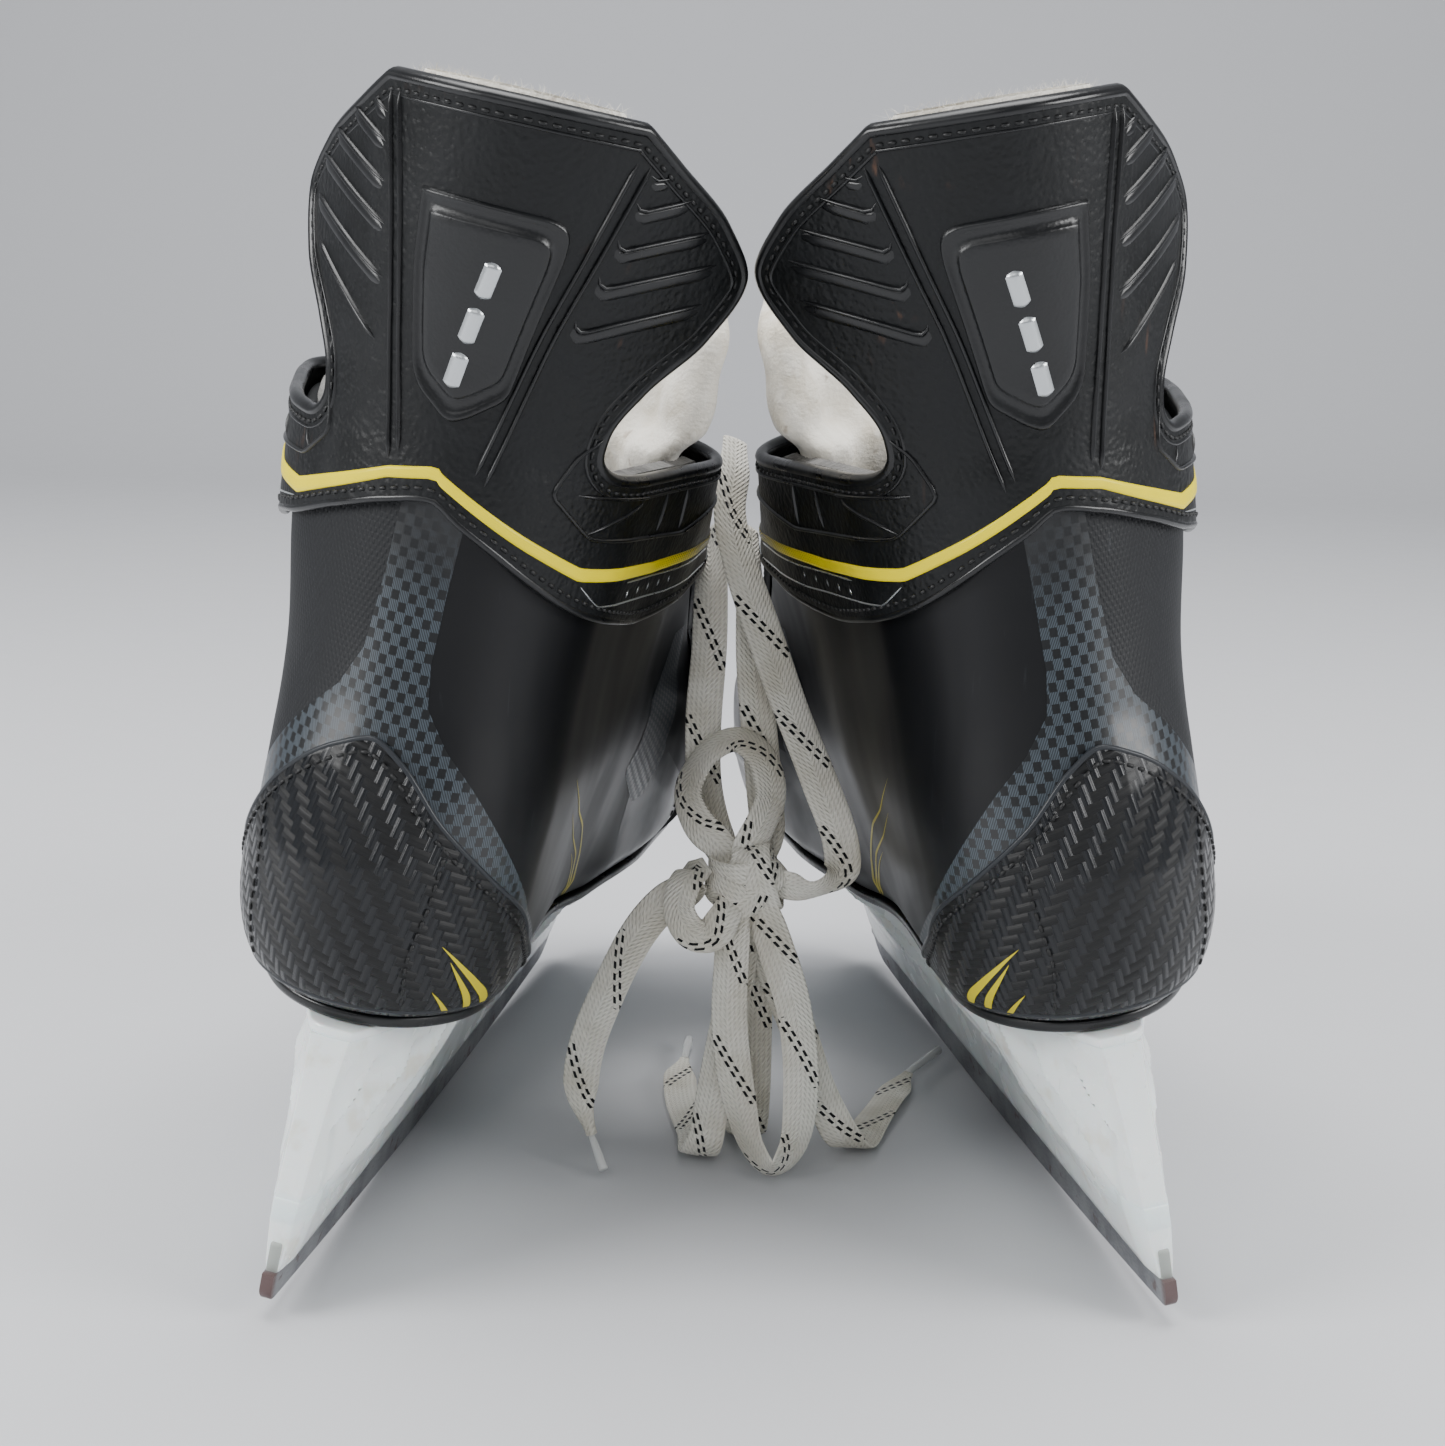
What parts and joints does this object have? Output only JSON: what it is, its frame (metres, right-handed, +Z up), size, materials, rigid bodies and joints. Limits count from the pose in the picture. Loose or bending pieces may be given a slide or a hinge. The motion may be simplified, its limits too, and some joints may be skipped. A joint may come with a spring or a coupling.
{
  "type": "ice hockey skate pair",
  "caption": "Pair of black ice hockey skates on pale blade holders, leaning together, with flexing tendon guards, folding tongues and laces tied in a bow between them.",
  "frame": {"origin": "bottom centre of the box around the whole part at rest, with both runners standing on z = 0", "axes": "+Z is up from the ice, +Y runs from the heels toward the toes of both skates, +X runs from the left skate to the right skate"},
  "size_m": [0.2396, 0.313, 0.2877],
  "materials": {
    "shell": "black moulded composite quarter with a glossy satin skin",
    "polymer": "black moulded polymer, satin with a fine grain",
    "carbon": "woven composite heel panel under clear gloss",
    "felt": "cream wool felt",
    "lining": "grey brushed lining",
    "holder": "pale glossy nylon with sculpted facets",
    "steel": "ground stainless runner",
    "rivet": "steel rivet",
    "lace": "off-white woven polyester lace with black tracer dashes",
    "aglet": "smooth plastic lace tip"
  },
  "bodies": {
    "left_skate": {"left_quarter_shell": "shell", "left_toe_cap": "polymer", "left_collar": "polymer", "left_heel_panel": "carbon", "left_eyestay_medial": "polymer", "left_eyestay_lateral": "polymer", "left_liner": "lining", "left_footbed": "lining", "left_outsole": "polymer", "left_tongue_lower": "felt", "left_blade_holder": "holder", "left_runner": "steel", "left_lacing": "lace", "left_rivet_1": "rivet", "left_rivet_2": "rivet", "left_rivet_3": "rivet", "left_rivet_4": "rivet", "lace_knot": "lace", "lace_run_left": "lace", "lace_run_right": "lace", "lace_run_cross": "lace", "lace_bow_upper": "lace", "lace_bow_small": "lace", "lace_bow_long": "lace", "lace_end_a": "lace", "lace_end_b": "lace", "lace_end_c": "lace", "lace_end_d": "lace", "aglet_a": "aglet", "aglet_b": "aglet", "aglet_c": "aglet", "aglet_d": "aglet"},
    "left_guard": {"left_tendon_guard": "polymer", "left_guard_lining": "felt"},
    "left_tongue": {"left_tongue_felt": "felt", "left_tongue_facing": "polymer"},
    "right_skate": {"right_quarter_shell": "shell", "right_toe_cap": "polymer", "right_collar": "polymer", "right_heel_panel": "carbon", "right_eyestay_medial": "polymer", "right_eyestay_lateral": "polymer", "right_liner": "lining", "right_footbed": "lining", "right_outsole": "polymer", "right_tongue_lower": "felt", "right_blade_holder": "holder", "right_runner": "steel", "right_lacing": "lace", "right_rivet_1": "rivet", "right_rivet_2": "rivet", "right_rivet_3": "rivet", "right_rivet_4": "rivet"},
    "right_guard": {"right_tendon_guard": "polymer", "right_guard_lining": "felt"},
    "right_tongue": {"right_tongue_felt": "felt", "right_tongue_facing": "polymer"}
  },
  "joints": [
    {"name": "pair_swing", "type": "hinge", "parent": "left_skate", "child": "right_skate", "pos_m": [0, 0.15, 0], "axis": [0, 0, 1], "range_deg": [0, 10]},
    {"name": "left_guard_flex", "type": "hinge", "parent": "left_skate", "child": "left_guard", "pos_m": [-0.06621, -0.13654, 0.20453], "axis": [0.9689, -0.1535, -0.1942], "range_deg": [0, 12], "stiffness_Nm_per_rad": 3},
    {"name": "left_tongue_flop", "type": "hinge", "parent": "left_skate", "child": "left_tongue", "pos_m": [-0.04788, -0.02666, 0.20914], "axis": [-0.9689, 0.1535, 0.1942], "range_deg": [0, 25], "stiffness_Nm_per_rad": 0.6},
    {"name": "right_guard_flex", "type": "hinge", "parent": "right_skate", "child": "right_guard", "pos_m": [0.06912, -0.12949, 0.20505], "axis": [0.9655, 0.1877, 0.1805], "range_deg": [0, 12], "stiffness_Nm_per_rad": 3},
    {"name": "right_tongue_flop", "type": "hinge", "parent": "right_skate", "child": "right_tongue", "pos_m": [0.04703, -0.0203, 0.20967], "axis": [-0.9655, -0.1877, -0.1805], "range_deg": [0, 25], "stiffness_Nm_per_rad": 0.6}
  ]
}
